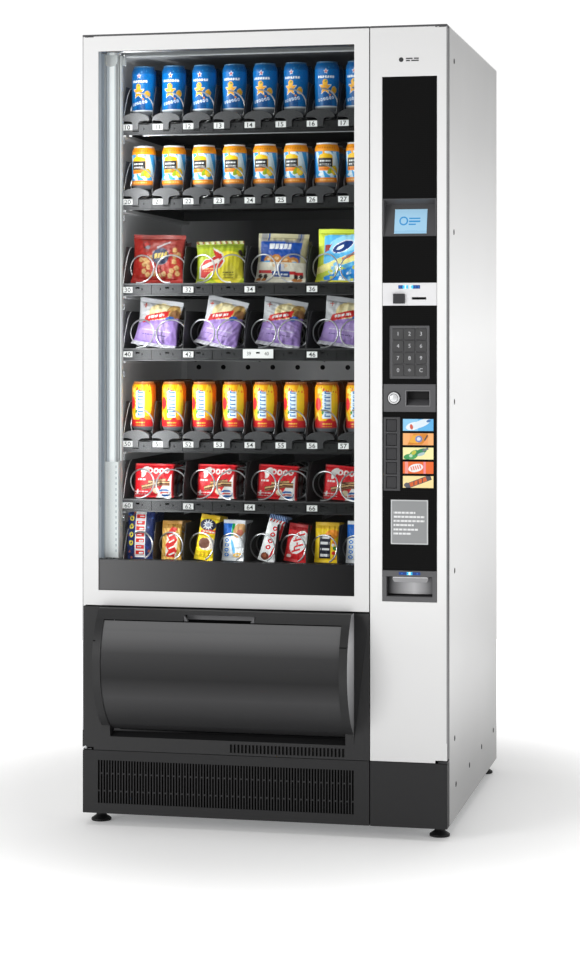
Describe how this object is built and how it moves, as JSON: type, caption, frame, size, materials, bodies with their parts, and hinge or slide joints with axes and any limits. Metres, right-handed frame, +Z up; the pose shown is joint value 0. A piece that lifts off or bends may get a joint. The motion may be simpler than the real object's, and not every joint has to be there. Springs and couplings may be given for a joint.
{
  "type": "snack vending machine",
  "caption": "Tall glass-front vending machine with a white cabinet, sliding spiral trays, a black control column and a curved swing-down delivery flap.",
  "frame": {"origin": "on the floor, under the middle of the machine's box (the curved delivery hood counts in the depth)", "axes": "+Z up, the glass front faces -Y, +X to the right when facing the front"},
  "size_m": [0.853, 0.95, 1.83],
  "materials": {
    "white_paint": "satin white powder coat",
    "dark_paint": "satin dark grey powder coat",
    "zinc_sheet": "galvanised sheet",
    "tray_paint": "satin black powder coat",
    "fascia_black": "gloss black",
    "dark_plastic": "fine grained dark grey",
    "grey_plastic": "fine grained mid grey",
    "light_plastic": "fine grained light grey",
    "black_plastic": "matte black",
    "liner_plastic": "smooth dark liner",
    "clear_glass": "clear toughened glass",
    "lamp_white": "opal white tube",
    "lock_chrome": "polished chrome",
    "spiral_wire": "bright zinc plated wire"
  },
  "bodies": {
    "cabinet": {"left_side_panel": "white_paint", "right_side_panel": "white_paint", "top_panel": "white_paint", "rear_panel": "zinc_sheet", "base_frame": "zinc_sheet", "foot_front_left": "black_plastic", "foot_front_right": "black_plastic", "foot_rear_left": "black_plastic", "foot_rear_right": "black_plastic", "cell_liner": "liner_plastic", "plinth_grille": "dark_paint", "column_plinth": "dark_paint", "front_door_hinge_post": "white_paint", "column_door_hinge_post": "white_paint", "cooling_unit": "black_plastic"},
    "front_door": {"door_frame": "white_paint", "door_glass": "clear_glass", "band_panel": "dark_plastic", "door_lamp": "lamp_white", "delivery_surround": "dark_plastic", "delivery_bin": "black_plastic"},
    "column_door": {"column_panel": "white_paint", "fascia_insert": "fascia_black", "display_bezel": "dark_plastic", "coin_plate": "light_plastic", "keypad_frame": "grey_plastic", "lock_plate": "dark_plastic", "selector_frame": "grey_plastic", "coin_cup": "grey_plastic"},
    "delivery_flap": {"delivery_flap": "dark_plastic"},
    "theft_guard": {"theft_guard": "black_plastic"},
    "coin_button": {"coin_button": "dark_plastic"},
    "lock_cylinder": {"lock_cylinder": "lock_chrome"},
    "coin_cup_flap": {"coin_cup_flap": "light_plastic"},
    "key_1": {"key_1": "grey_plastic"},
    "key_2": {"key_2": "grey_plastic"},
    "key_3": {"key_3": "grey_plastic"},
    "key_4": {"key_4": "grey_plastic"},
    "key_5": {"key_5": "grey_plastic"},
    "key_6": {"key_6": "grey_plastic"},
    "key_7": {"key_7": "grey_plastic"},
    "key_8": {"key_8": "grey_plastic"},
    "key_9": {"key_9": "grey_plastic"},
    "key_0": {"key_0": "grey_plastic"},
    "key_star": {"key_star": "grey_plastic"},
    "key_clear": {"key_clear": "grey_plastic"},
    "select_button_1": {"select_button_1": "dark_plastic"},
    "select_button_2": {"select_button_2": "dark_plastic"},
    "select_button_3": {"select_button_3": "dark_plastic"},
    "select_button_4": {"select_button_4": "dark_plastic"},
    "select_button_5": {"select_button_5": "dark_plastic"},
    "tray_1": {"tray_1": "tray_paint"},
    "tray_2": {"tray_2": "tray_paint"},
    "tray_3": {"tray_3": "tray_paint"},
    "tray_4": {"tray_4": "tray_paint"},
    "tray_5": {"tray_5": "tray_paint"},
    "tray_6": {"tray_6": "tray_paint"},
    "tray_7": {"tray_7": "tray_paint"},
    "spiral_left": {"spiral_left": "spiral_wire"},
    "spiral_right": {"spiral_right": "spiral_wire"}
  },
  "joints": [
    {"name": "coin_button_press", "type": "slide", "parent": "column_door", "child": "coin_button", "axis": [0, 1, 0], "range_m": [0, 0.003], "stiffness_N_per_m": 400, "springref_m": -0.002},
    {"name": "coin_flap_swing", "type": "hinge", "parent": "column_door", "child": "coin_cup_flap", "pos_m": [0.3405, -0.382, 0.586], "axis": [1, 0, 0], "range_deg": [0, 60]},
    {"name": "column_door_swing", "type": "hinge", "parent": "cabinet", "child": "column_door", "pos_m": [0.4185, -0.381, 1], "axis": [0, 0, 1], "range_deg": [0, 100]},
    {"name": "delivery_flap_swing", "type": "hinge", "parent": "front_door", "child": "delivery_flap", "pos_m": [-0.0825, -0.295, 0.38], "axis": [1, 0, 0], "range_deg": [0, 50], "stiffness_Nm_per_rad": 2.5, "springref_deg": -57.3},
    {"name": "delivery_guard_swing", "type": "hinge", "parent": "front_door", "child": "theft_guard", "pos_m": [-0.0825, -0.207, 0.472], "axis": [1, 0, 0], "range_deg": [-90, 0]},
    {"name": "front_door_swing", "type": "hinge", "parent": "cabinet", "child": "front_door", "pos_m": [-0.4185, -0.381, 1], "axis": [0, 0, -1], "range_deg": [0, 110]},
    {"name": "key_1_press", "type": "slide", "parent": "column_door", "child": "key_1", "axis": [0, 1, 0], "range_m": [0, 0.0012], "stiffness_N_per_m": 300, "springref_m": -0.001},
    {"name": "key_2_press", "type": "slide", "parent": "column_door", "child": "key_2", "axis": [0, 1, 0], "range_m": [0, 0.0012], "stiffness_N_per_m": 300, "springref_m": -0.001},
    {"name": "key_3_press", "type": "slide", "parent": "column_door", "child": "key_3", "axis": [0, 1, 0], "range_m": [0, 0.0012], "stiffness_N_per_m": 300, "springref_m": -0.001},
    {"name": "key_4_press", "type": "slide", "parent": "column_door", "child": "key_4", "axis": [0, 1, 0], "range_m": [0, 0.0012], "stiffness_N_per_m": 300, "springref_m": -0.001},
    {"name": "key_5_press", "type": "slide", "parent": "column_door", "child": "key_5", "axis": [0, 1, 0], "range_m": [0, 0.0012], "stiffness_N_per_m": 300, "springref_m": -0.001},
    {"name": "key_6_press", "type": "slide", "parent": "column_door", "child": "key_6", "axis": [0, 1, 0], "range_m": [0, 0.0012], "stiffness_N_per_m": 300, "springref_m": -0.001},
    {"name": "key_7_press", "type": "slide", "parent": "column_door", "child": "key_7", "axis": [0, 1, 0], "range_m": [0, 0.0012], "stiffness_N_per_m": 300, "springref_m": -0.001},
    {"name": "key_8_press", "type": "slide", "parent": "column_door", "child": "key_8", "axis": [0, 1, 0], "range_m": [0, 0.0012], "stiffness_N_per_m": 300, "springref_m": -0.001},
    {"name": "key_9_press", "type": "slide", "parent": "column_door", "child": "key_9", "axis": [0, 1, 0], "range_m": [0, 0.0012], "stiffness_N_per_m": 300, "springref_m": -0.001},
    {"name": "key_0_press", "type": "slide", "parent": "column_door", "child": "key_0", "axis": [0, 1, 0], "range_m": [0, 0.0012], "stiffness_N_per_m": 300, "springref_m": -0.001},
    {"name": "key_star_press", "type": "slide", "parent": "column_door", "child": "key_star", "axis": [0, 1, 0], "range_m": [0, 0.0012], "stiffness_N_per_m": 300, "springref_m": -0.001},
    {"name": "key_clear_press", "type": "slide", "parent": "column_door", "child": "key_clear", "axis": [0, 1, 0], "range_m": [0, 0.0012], "stiffness_N_per_m": 300, "springref_m": -0.001},
    {"name": "lock_turn", "type": "hinge", "parent": "column_door", "child": "lock_cylinder", "pos_m": [0.3056, -0.385, 0.9924], "axis": [0, 1, 0], "range_deg": [0, 90]},
    {"name": "select_1_press", "type": "slide", "parent": "column_door", "child": "select_button_1", "axis": [0, 1, 0], "range_m": [0, 0.0015], "stiffness_N_per_m": 300, "springref_m": -0.001},
    {"name": "select_2_press", "type": "slide", "parent": "column_door", "child": "select_button_2", "axis": [0, 1, 0], "range_m": [0, 0.0015], "stiffness_N_per_m": 300, "springref_m": -0.001},
    {"name": "select_3_press", "type": "slide", "parent": "column_door", "child": "select_button_3", "axis": [0, 1, 0], "range_m": [0, 0.0015], "stiffness_N_per_m": 300, "springref_m": -0.001},
    {"name": "select_4_press", "type": "slide", "parent": "column_door", "child": "select_button_4", "axis": [0, 1, 0], "range_m": [0, 0.0015], "stiffness_N_per_m": 300, "springref_m": -0.001},
    {"name": "select_5_press", "type": "slide", "parent": "column_door", "child": "select_button_5", "axis": [0, 1, 0], "range_m": [0, 0.0015], "stiffness_N_per_m": 300, "springref_m": -0.001},
    {"name": "spiral_left_turn", "type": "hinge", "parent": "tray_3", "child": "spiral_left", "pos_m": [-0.34887, 0.045, 1.2925], "axis": [0, 1, 0], "continuous": true},
    {"name": "spiral_right_turn", "type": "hinge", "parent": "tray_3", "child": "spiral_right", "pos_m": [-0.27587, 0.045, 1.2925], "axis": [0, 1, 0], "continuous": true},
    {"name": "tray_1_slide", "type": "slide", "parent": "cabinet", "child": "tray_1", "axis": [0, -1, 0], "range_m": [0, 0.1]},
    {"name": "tray_2_slide", "type": "slide", "parent": "cabinet", "child": "tray_2", "axis": [0, -1, 0], "range_m": [0, 0.1]},
    {"name": "tray_3_slide", "type": "slide", "parent": "cabinet", "child": "tray_3", "axis": [0, -1, 0], "range_m": [0, 0.1]},
    {"name": "tray_4_slide", "type": "slide", "parent": "cabinet", "child": "tray_4", "axis": [0, -1, 0], "range_m": [0, 0.1]},
    {"name": "tray_5_slide", "type": "slide", "parent": "cabinet", "child": "tray_5", "axis": [0, -1, 0], "range_m": [0, 0.1]},
    {"name": "tray_6_slide", "type": "slide", "parent": "cabinet", "child": "tray_6", "axis": [0, -1, 0], "range_m": [0, 0.1]},
    {"name": "tray_7_slide", "type": "slide", "parent": "cabinet", "child": "tray_7", "axis": [0, -1, 0], "range_m": [0, 0.1]}
  ],
  "couplings": [
    {"joint": "delivery_guard_swing", "follows": "delivery_flap_swing", "ratio": -1.8},
    {"joint": "spiral_right_turn", "follows": "spiral_left_turn", "ratio": -1}
  ]
}
